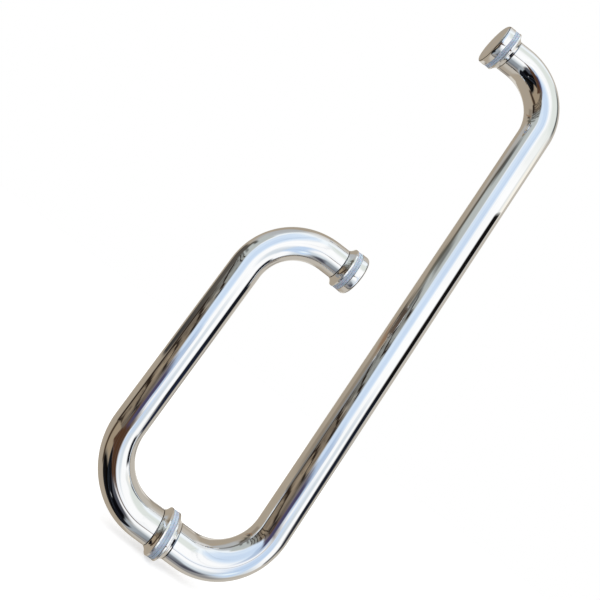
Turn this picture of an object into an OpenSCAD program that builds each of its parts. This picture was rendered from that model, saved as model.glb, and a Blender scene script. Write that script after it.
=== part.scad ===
// Back-to-back shower door set: a short pull handle on one face of the glass and a long towel
// bar on the other, sharing their lower clamp. Both are bent from the same polished tube.
// The bars run along +Z. The glass would lie in the plane y = 0, the pull handle stands off it
// towards -Y and the towel bar towards +Y. The origin is the middle of the shared lower clamp.
// Millimetres.

/* [Handles] */
// Spacing of the pull handle's two clamps, centre to centre
pull_pitch = 225; // [180:5:260]
// Spacing of the towel bar's two clamps, centre to centre
towel_pitch = 450; // [320:10:700]
// Distance from the middle of the clamps to the axis of each bar
reach = 62.5; // [62.5:0.5:80]
// Bend radius, measured on the axis of the tube
bend_r = 45; // [35:1:45]

/* [Tube] */
// Outside diameter of the tube
tube_d = 25; // [24:0.5:26]
// Wall thickness of the tube
tube_wall = 1.5; // [1:0.1:2]
// Chamfer round the outer edge of each tube end
tube_edge = 0.5; // [0.3:0.1:0.8]

/* [Washers] */
// Diameter of the rim that bears on the gasket
washer_d = 33; // [31:0.5:36]
// Thickness from the gasket to the end of the tube
washer_t = 5.5; // [5:0.5:7]
// Height of the straight band round the rim
washer_band = 1.4; // [1:0.1:2]
// Chamfer between that band and the hollow flare
washer_edge = 0.4; // [0.2:0.1:0.6]
// Radius of the hollow flare between the rim and the tube
flare_r = 8; // [6:0.5:12]
// How far the flare stands proud of the tube where they meet
neck_step = 0.3; // [0.1:0.1:0.6]
// Length of the spigot that centres the washer in the tube
spigot_l = 2; // [1:0.5:2.5]

/* [Gaskets] */
// Thickness of each clear plastic gasket
gasket_t = 2; // [1.5:0.1:2.5]
// How far the gasket's edge lies inside the washer's rim
gasket_inset = 0.2; // [0.1:0.1:0.6]
// Rounded edge of the gasket
gasket_edge = 0.3; // [0.2:0.1:0.5]

/* [End caps] */
// Thickness of each round end cap
cap_t = 6.5; // [6:0.5:10]
// Rounding of the cap's outer edge
cap_round = 2.5; // [1.5:0.5:4]
// Depth of the blind hole for the stud
cap_hole = 4.5; // [3.5:0.5:4.5]

/* [Studs and screws] */
// Diameter of the clamping studs
stud_d = 8; // [6:1:8]
// Length of the plug fixed inside each tube end
plug_l = 9; // [7:0.5:9]
// Depth of the blind hole in each plug
plug_hole = 7.5; // [5.5:0.5:7.5]
// Diameter of the grub screw under the towel bar's lower end
grub_d = 5; // [4:1:6]
// Width across the flats of its hexagon socket
grub_key = 2.5; // [2:0.5:3]

/* [Hidden] */
$fn = 96;
tube_r = tube_d / 2;
bore_r = tube_r - tube_wall;
washer_r = washer_d / 2;
neck_r = tube_r + neck_step;
stud_r = stud_d / 2;
grub_r = grub_d / 2;
// Distances from the middle of a clamp, measured outwards along its stud
seam_y = gasket_t + washer_t;
plug_y = seam_y + spigot_l;
bend_y = reach - bend_r;
// Clearances on the radius
press_gap = 0.02;
slide_gap = 0.05;
stud_gap = 0.3;
// Small chamfers on turned pieces that don't show
turned_edge = 0.5;
// Clear length left beyond the end of a stud that isn't screwed home
stud_relief = 1;
// Depth of the grub screw's head below the surface of the tube, and of its socket
grub_sink = 0.6;
grub_socket = 2.5;
eps = 0.01;

polished = [0.86, 0.88, 0.90];
turned_steel = [0.62, 0.63, 0.64];
clear_plastic = [0.70, 0.75, 0.84];
dark_steel = [0.22, 0.22, 0.23];

// Stands a piece that is built along +Z on the clamp at height level, pointing to side * Y
module at_clamp(level, side) {
    translate([0, 0, level])
        rotate([-90 * side, 0, 0])
            children();
}

// Centre of the arc of radius r through a and b that lies to the right of the way from a to b
function arc_centre(a, b, r) =
    let (half = norm(b - a) / 2, way = (b - a) / norm(b - a))
    (a + b) / 2 + sqrt(r * r - half * half) * [way[1], -way[0]];

// Section of the tube
module tube_ring() {
    difference() {
        circle(r = tube_r);
        circle(r = bore_r);
    }
}

// Straight tube end, from the washer to where the bend starts
module tube_end() {
    translate([0, 0, seam_y])
        rotate_extrude()
            polygon([
                [bore_r, 0],
                [tube_r - tube_edge, 0],
                [tube_r, tube_edge],
                [tube_r, bend_y - seam_y],
                [bore_r, bend_y - seam_y]]);
}

// Quarter bend that starts along +Y below the bend's centre and ends along +Z
module quarter_bend() {
    rotate([0, 90, 0])
        rotate_extrude(angle = 90)
            translate([bend_r, 0])
                tube_ring();
}

// Whole bent tube on the +Y side, with its clamps pitch apart
module bent_tube(pitch) {
    at_clamp(0, 1) tube_end();
    translate([0, bend_y, bend_r]) quarter_bend();
    translate([0, reach, bend_r])
        linear_extrude(pitch - 2 * bend_r) tube_ring();
    translate([0, bend_y, pitch - bend_r])
        mirror([0, 0, 1]) quarter_bend();
    at_clamp(pitch, 1) tube_end();
}

// Solid of revolution with chamfered ends, for plugs and studs
module turned_bar(r, length, edge) {
    rotate_extrude()
        polygon([
            [0, 0],
            [r - edge, 0],
            [r, edge],
            [r, length - edge],
            [r - edge, length],
            [0, length]]);
}

// Tapped plug that is fixed inside a tube end
module plug() {
    difference() {
        translate([0, 0, plug_y])
            turned_bar(bore_r - press_gap, plug_l, turned_edge);
        translate([0, 0, plug_y - eps])
            cylinder(r = stud_r + slide_gap, h = plug_hole + eps);
    }
}

// Washer with a hollow flare, a straight rim and a spigot that enters the tube
module washer() {
    rim_end = [washer_r - washer_edge, washer_band + washer_edge];
    neck_end = [neck_r, washer_t - tube_edge];
    translate([0, 0, gasket_t])
        rotate_extrude()
            difference() {
                polygon([
                    [stud_r + stud_gap, 0],
                    [washer_r - washer_edge, 0],
                    [washer_r, washer_edge],
                    [washer_r, washer_band],
                    rim_end,
                    neck_end,
                    [tube_r - tube_edge, washer_t],
                    [bore_r - slide_gap, washer_t],
                    [bore_r - slide_gap, washer_t + spigot_l],
                    [stud_r + stud_gap, washer_t + spigot_l]]);
                translate(arc_centre(rim_end, neck_end, flare_r))
                    circle(r = flare_r);
            }
}

// Clear gasket that lies between a washer or cap and the glass
module gasket() {
    gasket_r = washer_r - gasket_inset;
    rotate_extrude()
        polygon([
            [stud_r + stud_gap, 0],
            [gasket_r - gasket_edge, 0],
            [gasket_r, gasket_edge],
            [gasket_r, gasket_t - gasket_edge],
            [gasket_r - gasket_edge, gasket_t],
            [stud_r + stud_gap, gasket_t]]);
}

// Round end cap with a blind hole for its stud
module cap() {
    flat_r = washer_r - cap_round;
    translate([0, 0, gasket_t])
        difference() {
            rotate_extrude() {
                polygon([
                    [0, 0],
                    [washer_r - washer_edge, 0],
                    [washer_r, washer_edge],
                    [washer_r, cap_t - cap_round],
                    [flat_r, cap_t - cap_round],
                    [flat_r, cap_t],
                    [0, cap_t]]);
                translate([flat_r, cap_t - cap_round])
                    intersection() {
                        circle(r = cap_round);
                        square(cap_round);
                    }
            }
            translate([0, 0, -eps])
                cylinder(r = stud_r + slide_gap, h = cap_hole + eps);
        }
}

// Stud between two distances from the middle of the clamp, both measured towards the tube
module stud(from_y, to_y) {
    translate([0, 0, from_y])
        turned_bar(stud_r, to_y - from_y, turned_edge);
}

// Places the axis of the grub screw, pointing down out of the towel bar's lower end
module at_grub() {
    translate([0, plug_y + plug_hole / 2, 0])
        rotate([180, 0, 0])
            children();
}

module grub_hole() {
    at_grub()
        translate([0, 0, stud_r / 2])
            cylinder(r = grub_r + slide_gap, h = tube_r);
}

module pull_handle_tube() {
    color(polished)
        mirror([0, 1, 0]) bent_tube(pull_pitch);
}

module towel_bar_tube() {
    color(polished)
        difference() {
            bent_tube(towel_pitch);
            grub_hole();
        }
}

module pull_lower_plug() {
    color(turned_steel)
        at_clamp(0, -1) plug();
}

module pull_upper_plug() {
    color(turned_steel)
        at_clamp(pull_pitch, -1) plug();
}

module towel_lower_plug() {
    color(turned_steel)
        difference() {
            at_clamp(0, 1) plug();
            grub_hole();
        }
}

module towel_upper_plug() {
    color(turned_steel)
        at_clamp(towel_pitch, 1) plug();
}

module pull_lower_washer() {
    color(polished)
        at_clamp(0, -1) washer();
}

module pull_upper_washer() {
    color(polished)
        at_clamp(pull_pitch, -1) washer();
}

module towel_lower_washer() {
    color(polished)
        at_clamp(0, 1) washer();
}

module towel_upper_washer() {
    color(polished)
        at_clamp(towel_pitch, 1) washer();
}

module pull_lower_gasket() {
    color(clear_plastic)
        at_clamp(0, -1) gasket();
}

module towel_lower_gasket() {
    color(clear_plastic)
        at_clamp(0, 1) gasket();
}

module pull_upper_gasket() {
    color(clear_plastic)
        at_clamp(pull_pitch, -1) gasket();
}

module pull_cap_gasket() {
    color(clear_plastic)
        at_clamp(pull_pitch, 1) gasket();
}

module towel_upper_gasket() {
    color(clear_plastic)
        at_clamp(towel_pitch, 1) gasket();
}

module towel_cap_gasket() {
    color(clear_plastic)
        at_clamp(towel_pitch, -1) gasket();
}

module pull_cap() {
    color(polished)
        at_clamp(pull_pitch, 1) cap();
}

module towel_cap() {
    color(polished)
        at_clamp(towel_pitch, -1) cap();
}

// Screwed home in the pull handle's plug, and held by the grub screw in the towel bar's
module shared_stud() {
    color(turned_steel)
        at_clamp(0, -1)
            stud(stud_relief - plug_y - plug_hole, plug_y + plug_hole);
}

// Screwed home in the cap
module pull_cap_stud() {
    color(turned_steel)
        at_clamp(pull_pitch, -1)
            stud(-gasket_t - cap_hole, plug_y + plug_hole - stud_relief);
}

module towel_cap_stud() {
    color(turned_steel)
        at_clamp(towel_pitch, 1)
            stud(-gasket_t - cap_hole, plug_y + plug_hole - stud_relief);
}

// Grub screw with a cone point that bears on the shared stud
module towel_grub_screw() {
    tip_z = stud_r + press_gap;
    head_z = tube_r - grub_sink;
    point_l = grub_r / 2;
    color(dark_steel)
        at_grub()
            difference() {
                rotate_extrude()
                    polygon([
                        [0, tip_z],
                        [grub_r - point_l, tip_z],
                        [grub_r, tip_z + point_l],
                        [grub_r, head_z],
                        [0, head_z]]);
                translate([0, 0, head_z - grub_socket])
                    cylinder(d = grub_key / cos(30), h = grub_socket + eps, $fn = 6);
            }
}

pull_handle_tube();
towel_bar_tube();
pull_lower_plug();
pull_upper_plug();
towel_lower_plug();
towel_upper_plug();
pull_lower_washer();
pull_upper_washer();
towel_lower_washer();
towel_upper_washer();
pull_lower_gasket();
towel_lower_gasket();
pull_upper_gasket();
pull_cap_gasket();
towel_upper_gasket();
towel_cap_gasket();
pull_cap();
towel_cap();
shared_stud();
pull_cap_stud();
towel_cap_stud();
towel_grub_screw();
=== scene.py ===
"""Looks of a back-to-back shower door set in polished tube: a pull handle and a towel bar.

The bars run along +Z, the pull handle stands off towards -Y and the towel bar towards +Y, and
the origin is the middle of the clamp that they share. Lengths are in millimetres until a mesh is
made, and angles are in degrees.
"""

import math

import bmesh
import bpy
import numpy as np
from mathutils import Matrix, Vector


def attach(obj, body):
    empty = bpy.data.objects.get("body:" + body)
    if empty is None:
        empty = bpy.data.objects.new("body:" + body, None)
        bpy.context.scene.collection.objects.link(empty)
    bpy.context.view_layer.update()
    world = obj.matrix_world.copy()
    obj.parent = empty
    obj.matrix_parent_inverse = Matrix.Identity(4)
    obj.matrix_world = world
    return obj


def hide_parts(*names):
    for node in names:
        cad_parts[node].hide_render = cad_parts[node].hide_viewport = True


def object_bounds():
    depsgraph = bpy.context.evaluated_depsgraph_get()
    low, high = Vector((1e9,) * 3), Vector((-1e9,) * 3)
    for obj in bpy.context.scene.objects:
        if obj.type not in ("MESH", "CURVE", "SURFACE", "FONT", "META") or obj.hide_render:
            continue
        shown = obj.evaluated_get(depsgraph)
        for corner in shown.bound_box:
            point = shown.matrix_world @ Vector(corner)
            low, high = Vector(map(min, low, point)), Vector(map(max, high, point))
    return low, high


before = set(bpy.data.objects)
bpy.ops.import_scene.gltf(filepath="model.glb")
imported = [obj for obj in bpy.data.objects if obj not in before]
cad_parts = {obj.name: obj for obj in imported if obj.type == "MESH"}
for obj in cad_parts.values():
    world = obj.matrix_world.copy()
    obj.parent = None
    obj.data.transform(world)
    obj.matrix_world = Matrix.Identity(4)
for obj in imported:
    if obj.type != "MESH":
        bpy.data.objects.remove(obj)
CAD_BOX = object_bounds()
MM = 0.001

# Camera: its place in metres, and its right and forward directions
CAMERA_AT = Vector((0.37781, -0.10093, 0.13765))
CAMERA_RIGHT = Vector((0.1136, 0.7950, 0.5959))
CAMERA_FORWARD = Vector((-0.9879, 0.0266, 0.1528))
SENSOR_MM = 36.0
LENS_MM = 31.104
SHIFT_X = 0.12027
SHIFT_Y = -0.12140
CLIP_START = 0.01

# Handles and tube
PULL_PITCH = 225.0
TOWEL_PITCH = 450.0
REACH = 62.5
BEND_R = 45.0
TUBE_R = 12.5
BORE_R = 11.0
TUBE_EDGE = 0.5

# Clamp, outwards from the plane of the glass
GASKET_T = 2.0
GASKET_R = 16.3
GASKET_EDGE = 0.3
WASHER_T = 5.5
WASHER_R = 16.5
WASHER_BAND = 1.4
WASHER_EDGE = 0.4
FLARE_R = 8.0
NECK_R = 12.8
SPIGOT_L = 2.0
SPIGOT_R = 10.95
STUD_HOLE_R = 4.3
CAP_T = 6.5
CAP_ROUND = 2.5
CAP_HOLE_R = 4.05
CAP_HOLE = 4.5
SEAM_Y = GASKET_T + WASHER_T

# Clamps and end caps: the first part of the name, the height, and the side of the glass
CLAMPS = (("pull_lower", 0.0, -1), ("towel_lower", 0.0, 1), ("pull_upper", PULL_PITCH, -1),
          ("towel_upper", TOWEL_PITCH, 1))
CAPS = (("pull_cap", PULL_PITCH, 1), ("towel_cap", TOWEL_PITCH, -1))

# Grub screw hole under the towel bar's lower end
GRUB_Y = 13.25
GRUB_HOLE_R = 2.55
GRUB_HOLE_FROM = 2.0
GRUB_HOLE_TO = 14.5

# Divisions of the visible meshes: round a ring, along a bend, the longest step along a bar in
# millimetres, round a small edge, along a flare, and round the grub screw's hole
AROUND = 128
BEND_STEPS = 64
STRAIGHT_STEP = 5.0
ARC_STEPS = 10
FLARE_STEPS = 30
HOLE_SIDES = 48
# Edges that turn by more than this many degrees stay sharp
SHARP_FROM = 30
# Points of a profile nearer to the axis than this lie on it
ON_AXIS = 1e-6


def linear(hex_colour):
    """Linear colour of a display colour written as six hexadecimal digits."""
    parts = [int(hex_colour[i:i + 2], 16) / 255 for i in (0, 2, 4)]
    return tuple(p / 12.92 if p <= 0.04045 else ((p + 0.055) / 1.055) ** 2.4 for p in parts)


def rgba(hex_colour):
    return linear(hex_colour) + (1.0,)


class Graph:
    """Short ways to add and join shader nodes."""

    def __init__(self, owner):
        owner.use_nodes = True
        self.tree = owner.node_tree
        self.tree.nodes.clear()

    def add(self, kind, **settings):
        node = self.tree.nodes.new(kind)
        for name, value in settings.items():
            setattr(node, name, value)
        return node

    def put(self, value, socket):
        """Joins an output to a socket, or sets the socket to a number or colour."""
        if isinstance(value, bpy.types.NodeSocket):
            self.tree.links.new(value, socket)
        else:
            socket.default_value = value

    def feed(self, kind, *values, **settings):
        """First output of a new node whose first inputs are the values."""
        node = self.add(kind, **settings)
        for value, socket in zip(values, node.inputs):
            self.put(value, socket)
        return node.outputs[0]

    def math(self, operation, a, b=0.0, c=0.0):
        return self.feed("ShaderNodeMath", a, b, c, operation=operation)

    def ramp(self, value, low, high, to_low=0.0, to_high=1.0):
        """Smooth step from low to high."""
        node = self.add("ShaderNodeMapRange", interpolation_type="SMOOTHSTEP")
        for name, number in zip(("Value", "From Min", "From Max", "To Min", "To Max"),
                                (value, low, high, to_low, to_high)):
            self.put(number, node.inputs[name])
        return node.outputs["Result"]

    def band(self, value, low, high, soft):
        """1 between low and high, falling to 0 over soft at each side."""
        up = self.ramp(value, low - soft / 2, low + soft / 2)
        down = self.ramp(value, high - soft / 2, high + soft / 2, 1.0, 0.0)
        return self.math("MULTIPLY", up, down)

    def mix(self, share, a, b):
        """Colour that goes from a to b with share."""
        node = self.add("ShaderNodeMix", data_type="RGBA")
        self.put(share, node.inputs["Factor"])
        self.put(a, node.inputs["A"])
        self.put(b, node.inputs["B"])
        return node.outputs["Result"]

    def mix_shader(self, share, a, b):
        return self.feed("ShaderNodeMixShader", share, a, b)

    def mix_value(self, share, a, b):
        """Number that goes from a to b with share."""
        return self.math("MULTIPLY_ADD", share, b - a, a)

    def vector(self, x, y, z):
        return self.feed("ShaderNodeCombineXYZ", x, y, z)

    def split(self, vector):
        """X, Y and Z of a vector."""
        node = self.add("ShaderNodeSeparateXYZ")
        self.put(vector, node.inputs[0])
        return node.outputs

    def stretched(self, where, scale):
        node = self.add("ShaderNodeMapping")
        self.put(where, node.inputs[0])
        node.inputs["Scale"].default_value = scale
        return node.outputs[0]

    def noise(self, where, scale, detail, roughness=0.5):
        node = self.add("ShaderNodeTexNoise")
        self.put(where, node.inputs["Vector"])
        node.inputs["Scale"].default_value = scale
        node.inputs["Detail"].default_value = detail
        node.inputs["Roughness"].default_value = roughness
        return node.outputs[0]


# Surroundings

# Strength of the white behind the object
BACKGROUND_WHITE = 1.0
# Share of the plain light on dull surfaces that comes from all round; the lamps give the rest
DIFFUSE_LEVEL = 0.7
# The metal takes a little light away, so what it mirrors is this much brighter
MIRROR_GAIN = 1.07

# Tone of the table round the set, which shows where nothing else does
TABLE = "a89c8b"
# What stands round the object, as the polished metal shows it, later rows over earlier ones. Each
# is a name, a tone and an opacity, then the bearing about +Z from +X and the rise over the level,
# each from, to and softness, and how far the bearing's limits move for each degree of rise
SURROUNDINGS = (
    # the lit side of the table
    ("table_right", "beb7ac", 1.0, (95, 158, 22), (-100, 100, 20), 0.0),
    ("table_seam", "6f6a66", 0.7, (130, 142, 6), (-12, -1, 4), 0.0),
    # window far behind the set, which its back shows
    ("window", "d6d0c6", 1.0, (149, 186, 8), (-26, 28, 8), 0.0),
    ("window_post", "8a8176", 1.0, (163, 168, 4), (-26, 28, 8), 0.0),
    # open sky overhead
    ("sky", "fefefe", 1.0, (-62, 94, 16), (-36, 100, 14), 0.0),
    ("low_sky", "d6dfe6", 0.95, (12, 84, 24), (-70, -30, 18), 0.0),
    ("sky_high", "f2f8fc", 1.0, (-88, 96, 24), (42, 100, 14), 0.0),
    ("blue_left", "d6e5f6", 1.0, (-50, 0, 14), (-22, 62, 22), 0.0),
    ("blue_deep", "cbdcf1", 1.0, (-30, -8, 9), (-14, 40, 26), 0.0),
    ("blue_right", "c3d6ee", 1.0, (32, 58, 12), (-46, -8, 10), -0.9),
    ("cloud", "d2dae1", 0.9, (26, 46, 12), (-14, 3, 8), -0.6),
    ("haze", "dfe4df", 1.0, (14, 78, 12), (33, 62, 12), 0.0),
    ("haze_low", "cdd1cc", 0.5, (58, 76, 8), (18, 33, 8), 0.0),
    ("cream", "f8f3e8", 1.0, (72, 98, 10), (25, 34, 6), 0.0),
    ("panel", "15171f", 1.0, (71, 91, 8), (-12, 14, 6), 0.0),
    ("wall", "636663", 1.0, (78, 103, 9), (35, 58, 9), 0.0),
    ("low_shade", "2c2e36", 0.9, (82, 105, 10), (-17, -3, 6), -0.4),
    ("zenith", "dddddc", 0.8, (-200, 200, 10), (74, 100, 12), 0.0),
    # what stands at the pull handle's side
    ("hedge_high", "b2b5b7", 0.9, (-132, -66, 20), (30, 76, 20), 0.0),
    ("hedge", "b7bcb9", 1.0, (-100, -52, 10), (8, 44, 8), -0.3),
    ("hedge_dark", "3f3c35", 0.9, (-104, -80, 10), (27, 32, 4), 0.5),
    ("hedge_mid", "4e4b43", 0.75, (-122, -68, 16), (17, 21, 3), -1.0),
    ("hedge_foot", "55564f", 0.7, (-114, -94, 10), (13, 21, 5), 0.0),
    ("hedge_left", "4a453c", 0.9, (-112, -94, 14), (20, 30, 6), 0.0),
    ("dusk", "857a6c", 0.8, (-122, -96, 14), (-6, 13, 5), 0.0),
    ("shelf_dark", "2e2a26", 0.9, (-126, -108, 10), (10, 14, 4), 0.0),
    ("shelf_edge", "8a6a4e", 0.8, (-142, -100, 10), (7.5, 9.5, 2), 0.0),
    ("blue_low", "a6bad6", 0.8, (-18, 7, 8), (-11, -2, 4), 0.0),
    # what stands low down on the camera's side
    ("grey_floor", "9ba2a8", 1.0, (9, 40, 8), (-90, -44, 10), -0.7),
    ("low_gap", "e8f4fb", 1.0, (44, 57, 6), (-41, -33, 5), 0.0),
    ("shade_right", "4c4c55", 1.0, (30, 66, 18), (-72, -48, 14), -0.6),
    ("shade_far", "8d8b8a", 1.0, (60, 104, 20), (-90, -50, 14), 0.0),
    ("board_low", "9c8c76", 1.0, (-98, -26, 8), (-40, -11, 6), 0.5),
    ("post_low", "45372b", 1.0, (-94, -78, 8), (-50, -8, 6), 0.3),
    ("dark_left", "0c0a09", 1.0, (-84, -24, 10), (-100, -40, 8), 0.0),
    ("dark_low", "08080c", 1.0, (-34, 7, 5), (-90, -26, 5), 0.0),
    ("dark_foot", "15161c", 1.0, (-20, 27, 7), (-100, -62, 7), -0.5),
    ("dark_grey", "4c4e56", 1.0, (-6, 10, 6), (-42, -25, 8), 0.0),
    ("pale_spot", "b9b9ba", 1.0, (-19, -15, 3), (-54, -51.5, 2), 0.0),
    ("brown_low", "4f3624", 1.0, (-38, 9, 6), (-28, -12, 4), 1.2),
    ("brown_mid", "5a4438", 0.85, (-35, -17, 7), (-15, -6, 3), 0.0),
    ("violet_low", "494561", 1.0, (-20, -2, 5), (-14, -7, 3), 0.0),
)

# Boards at the pull handle's side, in degrees: their spacing, the rise of one seam, how the seams
# fall with the bearing and the bearing from which that counts
BOARD_SPACING = 4.8
BOARD_SEAM = -0.4
BOARD_SLOPE = 0.06
BOARD_MIDDLE = -70
# The bearings between which they fade in and out, how the second pair moves with the rise, and
# their rise as from, to and softness
BOARD_LEFT = (-100, -92)
BOARD_RIGHT = (-44, -34)
BOARD_SLANT = -1.0
BOARD_RISE = (-16, 15, 3)
# Their darkest and palest tones low down and high up, between which rises one pair gives way to the
# other, and how fast the tone changes along a board
BOARD_TONES_LOW = ("6a5f52", "988873")
BOARD_TONES_HIGH = ("6c6d69", "a0a29d")
BOARD_TONES_MEET = (-3, 6)
BOARD_TONE_ALONG = 0.02
# Their dark grain: its tone, how much of it shows, and how fast it changes along and across them
BOARD_GRAIN = "3c332a"
BOARD_GRAIN_MOST = 0.7
BOARD_GRAIN_ALONG = 0.03
BOARD_GRAIN_ACROSS = 0.9
# Their dark seams: the tone, and where it starts and ends to fade, as shares of the spacing
BOARD_SEAM_TONE = "2c221a"
BOARD_SEAM_FADE = (0.06, 0.17)
# Dark post before them, with its bearing and its rise as from, to and softness
BOARD_POST = "2c221b"
BOARD_POST_BEARING = (-97, -83, 6)
BOARD_POST_RISE = (-20, 2, 5)
# How far the outlines of it all waver: the fineness of each wave and its size in degrees
WAVER = ((2.2, 3.0), (9.0, 1.2), (40.0, 0.5))
# Faint upright streaks over it all: their tone, how far they take a colour to it, how much of them
# shows, and how fast they change with the bearing and with the rise
STREAK_TONE = "8796a8"
STREAK_SHARE = 0.7
STREAK_MOST = 0.35
STREAK_BY_BEARING = 0.22
STREAK_BY_RISE = 0.012
# Places in the noise, which set the boards' tones, their grain and the streaks apart
TONE_PLACE = 0
GRAIN_PLACE = 4
STREAK_PLACE = 9


def boards(g, bearing, rise):
    """Colour of the boards and where they show."""
    fall = g.math("MULTIPLY_ADD", g.math("ADD", bearing, -BOARD_MIDDLE), BOARD_SLOPE, rise)
    count = g.math("DIVIDE", g.math("SUBTRACT", fall, BOARD_SEAM), BOARD_SPACING)
    along = g.math("MULTIPLY", bearing, BOARD_TONE_ALONG)
    pale = g.ramp(g.noise(g.vector(along, g.math("FLOOR", count), TONE_PLACE), 1.0, 3), 0.4, 0.6)
    low, high = (g.mix(pale, rgba(dark), rgba(light))
                 for dark, light in (BOARD_TONES_LOW, BOARD_TONES_HIGH))
    colour = g.mix(g.ramp(rise, *BOARD_TONES_MEET), low, high)
    along = g.math("MULTIPLY", bearing, BOARD_GRAIN_ALONG)
    across = g.math("MULTIPLY", rise, BOARD_GRAIN_ACROSS)
    grain = g.ramp(g.noise(g.vector(along, across, GRAIN_PLACE), 1.0, 3), 0.45, 0.7)
    colour = g.mix(g.math("MULTIPLY", grain, BOARD_GRAIN_MOST), colour, rgba(BOARD_GRAIN))
    seam = g.ramp(g.math("PINGPONG", count, 0.5), *BOARD_SEAM_FADE, 1.0, 0.0)
    colour = g.mix(seam, colour, rgba(BOARD_SEAM_TONE))
    post = g.math("MULTIPLY", g.band(bearing, *BOARD_POST_BEARING), g.band(rise, *BOARD_POST_RISE))
    colour = g.mix(post, colour, rgba(BOARD_POST))
    slanted = g.math("MULTIPLY_ADD", rise, -BOARD_SLANT, bearing)
    here = g.math("MULTIPLY", g.ramp(bearing, *BOARD_LEFT), g.ramp(slanted, *BOARD_RIGHT, 1.0, 0.0))
    return colour, g.math("MULTIPLY", here, g.band(rise, *BOARD_RISE))


def wavering(g, where, bearing, rise):
    """Bearing and rise moved about by noise, so that no outline runs straight."""
    for scale, size in WAVER:
        wave = g.add("ShaderNodeTexNoise")
        g.put(where, wave.inputs["Vector"])
        wave.inputs["Scale"].default_value = scale
        parts = g.add("ShaderNodeSeparateColor")
        g.put(wave.outputs["Color"], parts.inputs[0])
        bearing = g.math("MULTIPLY_ADD", g.math("SUBTRACT", parts.outputs[0], 0.5), 2 * size, bearing)
        rise = g.math("MULTIPLY_ADD", g.math("SUBTRACT", parts.outputs[1], 0.5), 2 * size, rise)
    return bearing, rise


def surroundings(g, where):
    """Colour that the metal mirrors from each direction."""
    x, y, z = g.split(where)
    bearing = g.math("DEGREES", g.math("ARCTAN2", y, x))
    rise = g.math("DEGREES", g.math("ARCSINE", z))
    bearing, rise = wavering(g, where, bearing, rise)
    colour = rgba(TABLE)
    for name, tone, opacity, bearings, (low, high, soft), slant in SURROUNDINGS:
        side = bearing
        if slant:
            side = g.math("MULTIPLY_ADD", g.math("SUBTRACT", rise, (low + high) / 2), -slant, bearing)
        here = g.math("MULTIPLY", g.band(side, *bearings), g.band(rise, low, high, soft))
        if opacity < 1:
            here = g.math("MULTIPLY", here, opacity)
        colour = g.mix(here, colour, rgba(tone))
        colour.node.label = name
    wood, here = boards(g, bearing, rise)
    colour = g.mix(here, colour, wood)
    across = g.math("MULTIPLY", bearing, STREAK_BY_BEARING)
    along = g.math("MULTIPLY", rise, STREAK_BY_RISE)
    streak = g.noise(g.vector(across, along, STREAK_PLACE), 1.0, 4, 0.6)
    streaked = g.mix(STREAK_SHARE, colour, rgba(STREAK_TONE))
    return g.mix(g.ramp(streak, 0.52, 0.75, 0.0, STREAK_MOST), colour, streaked)


def make_world():
    """Plain white for the camera, plain light for dull surfaces, the surroundings for the metal."""
    world = bpy.data.worlds.new("studio")
    bpy.context.scene.world = world
    g = Graph(world)
    where = g.add("ShaderNodeTexCoord").outputs["Generated"]
    mirrored = g.add("ShaderNodeBackground")
    g.put(surroundings(g, where), mirrored.inputs["Color"])
    mirrored.inputs["Strength"].default_value = MIRROR_GAIN
    path = g.add("ShaderNodeLightPath")
    plain = g.add("ShaderNodeBackground")
    plain.inputs["Color"].default_value = (1, 1, 1, 1)
    g.put(g.mix_value(path.outputs["Is Diffuse Ray"], BACKGROUND_WHITE, DIFFUSE_LEVEL),
          plain.inputs["Strength"])
    either = g.mix_shader(path.outputs["Is Glossy Ray"], plain.outputs[0], mirrored.outputs[0])
    g.put(either, g.add("ShaderNodeOutputWorld").inputs["Surface"])


# Upright flags beside the bars, which only the metal sees, in millimetres. Each has its name, its Y,
# the side of Y that it shows its face to, its upper and lower tones and the height where they meet,
# the softness of its two long edges, and its outline as height and the two edges along X
FLAGS = (
    ("flag_towel", 84.0, -1, ("121010", "171c29"), 160.0, (1.6, 3.4),
     ((16, 7.5, 11.5), (47, 8, 14), (68, 8, 15.8), (88, 8.4, 18.8), (109, 9, 20.3),
      (130, 9.4, 22.2), (151, 9.9, 23.6), (234, 10.2, 25), (300, 10.2, 27), (338, 10.2, 27))),
    ("flag_pull", -44.0, -1, ("15171f", "1c2439"), 95.0, (1.0, 1.0),
     ((44, 6.4, 11.2), (79, 5.8, 11.4), (94, 5.2, 11.9), (125, 5, 12.6), (172, 5.6, 14.2))),
    ("flag_low", -84.0, 1, ("55504a", "3c3a39"), 125.0, (2.6, 1.2),
     ((95, -5.5, 5.5), (120, -7, 7), (150, -8, 7.5), (200, -8, 7.5))),
    ("flag_between", -48.0, 1, ("8d8e8f", "7a7874"), 120.0, (1.5, 1.5),
     ((56, -9, 12), (208, -9, 12))),
    ("flag_cap", 10.0, 1, ("4a4039", "6b5d50"), 222.0, (2.0, 2.0), ((211, -13, 13), (239, -13, 13))),
)
# Softness of their ends, and the steps of their meshes along Z and X
FLAG_END_SOFT = 3.0
FLAG_STEP = 2.0
FLAG_FINE = 0.5
# Half the height over which the tones meet, how far that height wanders, and how finely
TONES_MEET = 35.0
TONES_WANDER = 105.0
FLAG_MOTTLE = (200, 1, 14)


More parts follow.
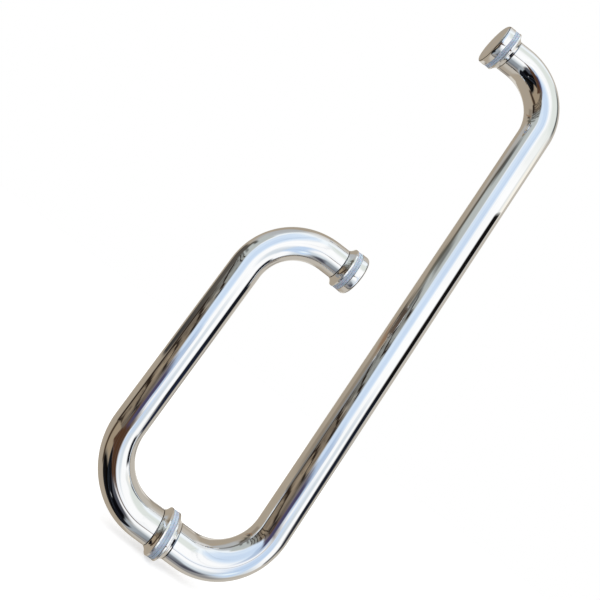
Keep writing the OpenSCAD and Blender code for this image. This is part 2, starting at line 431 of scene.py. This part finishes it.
def flag_material(name, tones, level):
    material = bpy.data.materials.new(name)
    g = Graph(material)
    where = g.add("ShaderNodeTexCoord").outputs["Object"]
    x, y, z = g.split(where)
    mottle = g.math("SUBTRACT", g.noise(g.stretched(where, FLAG_MOTTLE), 1.0, 3), 0.5)
    height = g.math("MULTIPLY", z, 1 / MM)
    height = g.math("MULTIPLY_ADD", mottle, TONES_WANDER, height)
    upper = g.ramp(height, level - TONES_MEET, level + TONES_MEET)
    face = g.add("ShaderNodeEmission")
    g.put(g.mix(upper, rgba(tones[1]), rgba(tones[0])), face.inputs["Color"])
    cover = g.add("ShaderNodeAttribute", attribute_name="cover").outputs["Fac"]
    from_behind = g.add("ShaderNodeNewGeometry").outputs["Backfacing"]
    shown = g.math("MULTIPLY", cover, g.math("SUBTRACT", 1.0, from_behind))
    both = g.mix_shader(shown, g.add("ShaderNodeBsdfTransparent").outputs[0], face.outputs[0])
    g.put(both, g.add("ShaderNodeOutputMaterial").inputs["Surface"])
    return material


def past(value, limit, soft):
    """0 below the limit and 1 above it, with a change over soft at each side of it."""
    t = np.clip((value - limit + soft) / (2 * soft), 0, 1)
    return t * t * (3 - 2 * t)


def flag_cover(x, z, softs, rows):
    """1 inside a flag's outline, falling to 0 at its soft edges."""
    near, far = (np.interp(z, rows[:, 0], rows[:, k]) for k in (1, 2))
    sides = past(x, near, softs[0]) * past(-x, -far, softs[1])
    return sides * past(z, rows[0, 0], FLAG_END_SOFT) * past(-z, -rows[-1, 0], FLAG_END_SOFT)


def make_flag(name, y, facing, tones, level, softs, rows):
    rows = np.array(rows, float)
    heights = np.arange(rows[0, 0] - FLAG_END_SOFT, rows[-1, 0] + FLAG_END_SOFT, FLAG_STEP)
    across = np.arange(rows[:, 1].min() - softs[0], rows[:, 2].max() + softs[1], FLAG_FINE)
    verts = [(MM * x, MM * y, MM * z) for z in heights for x in across]
    n = len(across)
    faces = [(i * n + j, i * n + j + 1, (i + 1) * n + j + 1, (i + 1) * n + j)
             for i in range(len(heights) - 1) for j in range(n - 1)]
    if facing > 0:
        faces = [face[::-1] for face in faces]
    flag = add_piece(name, verts, faces)
    z, x = np.meshgrid(heights, across, indexing="ij")
    layer = flag.data.attributes.new("cover", "FLOAT", "POINT")
    layer.data.foreach_set("value", flag_cover(x, z, softs, rows).astype(np.float32).ravel())
    flag.data.materials.append(flag_material(name, tones, level))
    flag.visible_camera = False
    flag.visible_diffuse = False
    flag.visible_shadow = False
    flag.visible_transmission = False


def make_camera():
    data = bpy.data.cameras.new("camera")
    data.sensor_width = SENSOR_MM
    data.lens = LENS_MM
    data.shift_x = SHIFT_X
    data.shift_y = SHIFT_Y
    data.clip_start = CLIP_START
    camera = bpy.data.objects.new("camera", data)
    bpy.context.scene.collection.objects.link(camera)
    back = -CAMERA_FORWARD.normalized()
    right = (CAMERA_RIGHT - CAMERA_RIGHT.dot(back) * back).normalized()
    turn = Matrix((right, back.cross(right), back)).transposed().to_4x4()
    camera.matrix_world = Matrix.Translation(CAMERA_AT) @ turn
    bpy.context.scene.camera = camera


# Floor: half its side and the gap between it and the object, in millimetres, and its grey
FLOOR_HALF = 3000.0
FLOOR_GAP = 0.3
FLOOR_GREY = 0.55
# Soft lamps: where each stands and the side of its square, in millimetres, its power in watts, and
# the point that both face
LAMPS = (((900, -700, 1300), 900, 12.0), ((-700, 900, 1100), 900, 6.0))
LAMP_AIM = (0, 0, 200)


def make_floor():
    """Grey floor with a glow, for the camera only, that makes up what it lacks to white. It keeps
    the object's shadow, and the metal doesn't mirror it."""
    level = CAD_BOX[0][2] - MM * FLOOR_GAP
    corners = ((-1, -1), (1, -1), (1, 1), (-1, 1))
    floor = add_piece("floor", [(MM * FLOOR_HALF * x, MM * FLOOR_HALF * y, level) for x, y in corners],
                      [(0, 1, 2, 3)])
    material = bpy.data.materials.new("pale_floor")
    g = Graph(material)
    seen = g.add("ShaderNodeLightPath").outputs["Is Camera Ray"]
    surface = g.add("ShaderNodeBsdfDiffuse")
    surface.inputs["Color"].default_value = (FLOOR_GREY,) * 3 + (1,)
    glow = g.add("ShaderNodeEmission")
    g.put(g.math("MULTIPLY", seen, 1 - FLOOR_GREY * DIFFUSE_LEVEL), glow.inputs["Strength"])
    both = g.feed("ShaderNodeAddShader", surface.outputs[0], glow.outputs[0])
    g.put(both, g.add("ShaderNodeOutputMaterial").inputs["Surface"])
    floor.data.materials.append(material)
    floor.visible_glossy = False


def make_lamps():
    for i, (place, side, power) in enumerate(LAMPS):
        data = bpy.data.lights.new("soft_lamp_%d" % i, "AREA")
        data.size = MM * side
        data.energy = power
        lamp = bpy.data.objects.new(data.name, data)
        bpy.context.scene.collection.objects.link(lamp)
        lamp.location = MM * Vector(place)
        lamp.rotation_mode = "QUATERNION"
        aim = MM * Vector(LAMP_AIM) - lamp.location
        lamp.rotation_quaternion = aim.to_track_quat("-Z", "Y")
        lamp.visible_glossy = False
        lamp.visible_camera = False


# Meshes


def swung(centre, start, end, turn, steps):
    """Points of the arc round the centre from the arm start to the arm end, with turn between."""
    return [tuple(centre + (math.sin((1 - t) * turn) * start + math.sin(t * turn) * end)
                  / math.sin(turn)) for t in np.linspace(0, 1, steps)]


def fillet(corner, before, after, radius):
    """Points of a rounded corner between two neighbouring points."""
    corner, before, after = (np.array(p, float) for p in (corner, before, after))
    a = (before - corner) / np.linalg.norm(before - corner)
    b = (after - corner) / np.linalg.norm(after - corner)
    half = math.acos(float(np.clip(a @ b, -1, 1))) / 2
    back = radius / math.tan(half)
    centre = corner + (a + b) / np.linalg.norm(a + b) * radius / math.sin(half)
    start, end = corner + a * back - centre, corner + b * back - centre
    turn = math.acos(float(np.clip(start @ end / radius ** 2, -1, 1)))
    return swung(centre, start, end, turn, ARC_STEPS)


def outline(*points):
    """Closed profile of (radius, height) or (radius, height, rounding) points."""
    done = []
    for i, point in enumerate(points):
        if len(point) == 3:
            done += fillet(point[:2], points[i - 1][:2], points[(i + 1) % len(points)][:2], point[2])
        else:
            done.append(point)
    return done


def arc(start, end, radius, steps):
    """Points from start to end on the arc whose centre lies to the right of the way."""
    start, end = np.array(start, float), np.array(end, float)
    half = np.linalg.norm(end - start) / 2
    way = (end - start) / (2 * half)
    centre = (start + end) / 2 + math.sqrt(radius ** 2 - half ** 2) * np.array((way[1], -way[0]))
    return swung(centre, start - centre, end - centre, 2 * math.asin(half / radius), steps)


def add_piece(name, verts, faces):
    mesh = bpy.data.meshes.new(name)
    mesh.from_pydata([tuple(v) for v in verts], [], faces)
    mesh.update()
    piece = bpy.data.objects.new(name, mesh)
    bpy.context.scene.collection.objects.link(piece)
    return piece


def skin(rings):
    """Faces between each ring of vertices and the next, and from the last ring to the first."""
    faces = []
    for low, high in zip(rings, rings[1:] + rings[:1]):
        for i in range(AROUND):
            j = (i + 1) % AROUND
            face = [low[i], low[j], high[j], high[i]]
            face = [v for k, v in enumerate(face) if v != face[k - 1]]
            if len(face) > 2:
                faces.append(face)
    return faces


def turned(name, profile, level, side):
    """Solid of revolution round the stud of the clamp at height level, pointing to side * Y.
    The profile is closed, anticlockwise, and may touch the axis."""
    rings, verts = [], []
    for radius, height in profile:
        on_axis = radius < ON_AXIS
        ring = []
        for i in range(1 if on_axis else AROUND):
            angle = 2 * math.pi * i / AROUND
            verts.append((MM * radius * math.cos(angle), MM * side * height,
                          MM * (level - side * radius * math.sin(angle))))
            ring.append(len(verts) - 1)
        rings.append(ring * AROUND if on_axis else ring)
    piece = add_piece(name, verts, skin(rings))
    smooth(piece)
    return piece


def smooth(piece):
    """Shades a mesh smooth, apart from its sharp edges."""
    mesh = piece.data
    form = bmesh.new()
    form.from_mesh(mesh)
    bmesh.ops.recalc_face_normals(form, faces=form.faces)
    for face in form.faces:
        face.smooth = True
    for edge in form.edges:
        edge.smooth = edge.calc_face_angle(0) < math.radians(SHARP_FROM)
    form.to_mesh(mesh)
    form.free()


def washer_profile():
    flare = arc((WASHER_R - WASHER_EDGE, WASHER_BAND + WASHER_EDGE), (NECK_R, WASHER_T - TUBE_EDGE),
                FLARE_R, FLARE_STEPS)
    lift = [(r, GASKET_T + h) for r, h in flare]
    return (outline((STUD_HOLE_R, GASKET_T), (WASHER_R, GASKET_T, WASHER_EDGE),
                    (WASHER_R, GASKET_T + WASHER_BAND)) + lift
            + [(TUBE_R - TUBE_EDGE, SEAM_Y), (SPIGOT_R, SEAM_Y), (SPIGOT_R, SEAM_Y + SPIGOT_L),
               (STUD_HOLE_R, SEAM_Y + SPIGOT_L)])


def gasket_profile():
    return outline((STUD_HOLE_R, 0), (GASKET_R, 0, GASKET_EDGE), (GASKET_R, GASKET_T, GASKET_EDGE),
                   (STUD_HOLE_R, GASKET_T))


def cap_profile():
    top = GASKET_T + CAP_T
    return outline((CAP_HOLE_R, GASKET_T), (WASHER_R, GASKET_T, WASHER_EDGE),
                   (WASHER_R, top, CAP_ROUND), (0, top), (0, GASKET_T + CAP_HOLE),
                   (CAP_HOLE_R, GASKET_T + CAP_HOLE))


def tube_stations(pitch):
    """Points and directions along the tube's axis on the +Y side, as (y, z, dy, dz)."""
    bend_y = REACH - BEND_R
    lower = [(y, 0.0, 1.0, 0.0) for y in (SEAM_Y, SEAM_Y + TUBE_EDGE, (SEAM_Y + bend_y) / 2)]
    for i in range(BEND_STEPS + 1):
        t = math.pi / 2 * i / BEND_STEPS
        lower.append((bend_y + BEND_R * math.sin(t), BEND_R * (1 - math.cos(t)),
                      math.cos(t), math.sin(t)))
    straight = pitch - 2 * BEND_R
    steps = int(straight / STRAIGHT_STEP)
    bar = [(REACH, BEND_R + straight * i / steps, 0.0, 1.0) for i in range(1, steps)]
    upper = [(y, pitch - z, -dy, dz) for y, z, dy, dz in reversed(lower)]
    return lower + bar + upper


def tube(name, pitch, side, hole=False):
    """Bent tube on the side * Y side, its outer wall one way and its bore back."""
    stations = tube_stations(pitch)
    last = len(stations) - 1
    verts, rings = [], []
    for wall, order in ((TUBE_R, range(last + 1)), (BORE_R, range(last, -1, -1))):
        for k in order:
            y, z, dy, dz = stations[k]
            radius = wall - TUBE_EDGE if wall == TUBE_R and k in (0, last) else wall
            ring = []
            for i in range(AROUND):
                angle = 2 * math.pi * i / AROUND
                across, out = radius * math.cos(angle), radius * math.sin(angle)
                verts.append((MM * across, MM * side * (y - dz * out), MM * (z + dy * out)))
                ring.append(len(verts) - 1)
            rings.append(ring)
    piece = add_piece(name, verts, skin(rings))
    smooth(piece)
    if hole:
        cut_grub_hole(piece)
    return piece


def cut_grub_hole(piece):
    bpy.ops.mesh.primitive_cylinder_add(
        vertices=HOLE_SIDES, radius=MM * GRUB_HOLE_R, depth=MM * (GRUB_HOLE_TO - GRUB_HOLE_FROM),
        location=(0, MM * GRUB_Y, -MM * (GRUB_HOLE_TO + GRUB_HOLE_FROM) / 2))
    drill = bpy.context.object
    cut = piece.modifiers.new("hole", "BOOLEAN")
    cut.operation = "DIFFERENCE"
    cut.solver = "EXACT"
    cut.object = drill
    apply_modifiers(piece)
    bpy.data.objects.remove(drill)


def apply_modifiers(piece):
    graph = bpy.context.evaluated_depsgraph_get()
    made = bpy.data.meshes.new_from_object(piece.evaluated_get(graph))
    piece.modifiers.clear()
    piece.data = made


# Materials

# Chrome: its tint, the share of it that faint clouds keep, its roughness clean and smeared, and the
# fineness of the clouds and of the smears, which run along the bars
CHROME_TINT = (0.93, 0.935, 0.94)
CHROME_CLOUD = 0.975
CHROME_ROUGHNESS = (0.012, 0.045)
CLOUD_SCALE = 30.0
SMEAR_SCALE = (60, 60, 9)
# Depth, in metres, and fineness of the slight waves that bending and belt polishing leave in the
# tube, and of the belt's grain
WAVE_DEPTH = 0.00006
WAVE_SCALE = 45.0
GRAIN_DEPTH = 0.000002
GRAIN_SCALE = (900, 900, 160)
# Painted shade: a dark line painted into the joint between a washer and its tube, in place of the shade
# in the gap there: half its width in millimetres, the share of that which is fully dark, its tone and
# roughness
JOINT_SHADE_HALF = 0.28
JOINT_SHADE_CORE = 0.4
JOINT_SHADE_TONE = "241f1b"
JOINT_SHADE_ROUGHNESS = 0.6
# Cloudy gasket: its tones, and a darker tone painted near the plane of the glass as painted shade in
# the crease where the gaskets of both sides meet, how far in millimetres and how much of it shows
GASKET_TONES = ("a9b6ca", "bccadb")
GASKET_CREASE_SHADE_TONE = "7f8da4"
GASKET_CREASE_SHADE_DEEP = 0.35
GASKET_CREASE_SHADE_MOST = 0.45
GASKET_IOR = 1.49
GASKET_ROUGHNESS = (0.28, 0.42)
# Fineness of its clouds, of its sheen and of its grain, and the depth of the grain in metres
GASKET_CLOUD_SCALE = 180.0
GASKET_SHEEN_SCALE = 260.0
GASKET_GRAIN_SCALE = 600.0
GASKET_GRAIN = 0.00001
# Share and depth, in metres, of the light that goes into the gasket and comes out again
GASKET_INNER = 0.15
GASKET_INNER_DEEP = 0.002
# Turned steel: the spacing of the lathe's rings on the plugs and of the M8 thread, in millimetres,
# its tones and roughness, and the fineness of its stains and of the tool's marks
PLUG_RINGS = 0.4
THREAD_PITCH = 1.25
STEEL_TONES = ("a3a6a9", "85888b")
STEEL_ROUGHNESS = (0.24, 0.4)
STAIN_SCALE = 220.0
TURNING_SCALE = (80, 2500, 80)
# Black oxide: its tones and roughness, sound and worn, the fineness of the wear and of the grain,
# and the depth of the grain in metres
OXIDE_TONES = ("38383a", "6c6a67")
OXIDE_ROUGHNESS = (0.5, 0.32)
OXIDE_WEAR_SCALE = 900.0
OXIDE_GRAIN_SCALE = 1500.0
OXIDE_GRAIN = 0.00002


def new_surface(name):
    """Graph of a new material, its Principled node and the object's own coordinates."""
    material = bpy.data.materials.new(name)
    g = Graph(material)
    surface = g.add("ShaderNodeBsdfPrincipled")
    g.put(surface.outputs[0], g.add("ShaderNodeOutputMaterial").inputs["Surface"])
    where = g.add("ShaderNodeTexCoord").outputs["Object"]
    return material, g, surface, where


def bump(g, surface, height, depth, under=None):
    node = g.add("ShaderNodeBump")
    node.inputs["Distance"].default_value = depth
    g.put(height, node.inputs["Height"])
    if under:
        g.put(under, node.inputs["Normal"])
    g.put(node.outputs[0], surface.inputs["Normal"])
    return node.outputs[0]


def distance_from_glass(g, where):
    """Millimetres from the plane of the glass."""
    x, y, z = g.split(where)
    return g.math("MULTIPLY", g.math("ABSOLUTE", y), 1 / MM)


def chrome():
    material, g, surface, where = new_surface("mirror_chrome")
    surface.inputs["Metallic"].default_value = 1
    # painted shade: a dark line in the joint between washer and tube, where the gap lies in shade
    off = g.math("ABSOLUTE", g.math("SUBTRACT", distance_from_glass(g, where), SEAM_Y))
    joint_shade = g.ramp(off, JOINT_SHADE_CORE * JOINT_SHADE_HALF, JOINT_SHADE_HALF, 1.0, 0.0)
    cloud = g.ramp(g.noise(where, CLOUD_SCALE, 4), 0.4, 0.65)
    clouded = tuple(CHROME_CLOUD * c for c in CHROME_TINT)
    plain = g.mix(cloud, CHROME_TINT + (1,), clouded + (1,))
    g.put(g.mix(joint_shade, plain, rgba(JOINT_SHADE_TONE)), surface.inputs["Base Color"])
    smear = g.ramp(g.noise(g.stretched(where, SMEAR_SCALE), 1.0, 5), 0.5, 0.72, *CHROME_ROUGHNESS)
    g.put(g.math("MAXIMUM", smear, g.math("MULTIPLY", joint_shade, JOINT_SHADE_ROUGHNESS)),
          surface.inputs["Roughness"])
    wave = bump(g, surface, g.noise(where, WAVE_SCALE, 1.5), WAVE_DEPTH)
    bump(g, surface, g.noise(g.stretched(where, GRAIN_SCALE), 1.0, 3), GRAIN_DEPTH, wave)
    return material


def cloudy_plastic():
    material, g, surface, where = new_surface("clear_gasket")
    cloud = g.ramp(g.noise(where, GASKET_CLOUD_SCALE, 3), 0.35, 0.65)
    body = g.mix(cloud, *(rgba(tone) for tone in GASKET_TONES))
    # painted shade: darker near the plane of the glass, in the crease where the gaskets of both sides
    # meet
    face = g.ramp(distance_from_glass(g, where), 0.0, GASKET_CREASE_SHADE_DEEP, GASKET_CREASE_SHADE_MOST, 0.0)
    g.put(g.mix(face, body, rgba(GASKET_CREASE_SHADE_TONE)), surface.inputs["Base Color"])
    sheen = g.noise(where, GASKET_SHEEN_SCALE, 2)
    g.put(g.ramp(sheen, 0.3, 0.7, *GASKET_ROUGHNESS), surface.inputs["Roughness"])
    surface.inputs["IOR"].default_value = GASKET_IOR
    surface.inputs["Subsurface Weight"].default_value = GASKET_INNER
    surface.inputs["Subsurface Scale"].default_value = GASKET_INNER_DEEP
    bump(g, surface, g.noise(where, GASKET_GRAIN_SCALE, 2), GASKET_GRAIN)
    return material


def lathe_steel(name, pitch):
    """Turned steel with rings round the clamp's axis every pitch millimetres."""
    material, g, surface, where = new_surface(name)
    surface.inputs["Metallic"].default_value = 1
    rings = g.math("PINGPONG", g.math("DIVIDE", distance_from_glass(g, where), pitch), 0.5)
    stain = g.ramp(g.noise(where, STAIN_SCALE, 4), 0.4, 0.7)
    g.put(g.mix(stain, *(rgba(tone) for tone in STEEL_TONES)), surface.inputs["Base Color"])
    turning = g.noise(g.stretched(where, TURNING_SCALE), 1.0, 2)
    g.put(g.ramp(turning, 0.3, 0.7, *STEEL_ROUGHNESS), surface.inputs["Roughness"])
    bump(g, surface, rings, MM * pitch * 0.5)
    return material


def black_oxide():
    material, g, surface, where = new_surface("dark_steel")
    surface.inputs["Metallic"].default_value = 1
    worn = g.ramp(g.noise(where, OXIDE_WEAR_SCALE, 4), 0.55, 0.7)
    g.put(g.mix(worn, *(rgba(tone) for tone in OXIDE_TONES)), surface.inputs["Base Color"])
    g.put(g.ramp(worn, 0.0, 1.0, *OXIDE_ROUGHNESS), surface.inputs["Roughness"])
    bump(g, surface, g.noise(where, OXIDE_GRAIN_SCALE, 3), OXIDE_GRAIN)
    return material


def repaint(nodes, material):
    """Gives the CAD nodes that keep their own mesh a better material."""
    for name in nodes:
        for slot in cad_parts[name].material_slots:
            slot.material = material


def dress(piece, node, material):
    """Puts a finer piece in the place of a CAD node."""
    piece.data.materials.clear()
    piece.data.materials.append(material)
    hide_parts(node)
    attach(piece, "root")


def dress_gasket(place, level, side, material):
    dress(turned(place + "_gasket_moulded", gasket_profile(), level, side), place + "_gasket",
          material)


def dress_all():
    """Dresses the nodes that show."""
    shine = chrome()
    cloudy = cloudy_plastic()
    dress(tube("pull_tube_polished", PULL_PITCH, -1), "pull_handle_tube", shine)
    dress(tube("towel_tube_polished", TOWEL_PITCH, 1, hole=True), "towel_bar_tube",
          shine)
    for place, level, side in CLAMPS:
        dress(turned(place + "_washer_turned", washer_profile(), level, side), place + "_washer",
              shine)
        dress_gasket(place, level, side, cloudy)
    for place, level, side in CAPS:
        dress(turned(place + "_turned", cap_profile(), level, side), place, shine)
        dress_gasket(place, level, side, cloudy)


def repaint_hidden():
    repaint([place + "_plug" for place, level, side in CLAMPS], lathe_steel("turned_steel", PLUG_RINGS))
    repaint(("shared_stud", "pull_cap_stud", "towel_cap_stud"),
            lathe_steel("threaded_steel", THREAD_PITCH))
    repaint(("towel_grub_screw",), black_oxide())


make_camera()
make_world()
make_floor()
make_lamps()
for flag in FLAGS:
    make_flag(*flag)
dress_all()
repaint_hidden()

bpy.context.scene.view_settings.view_transform = "Standard"
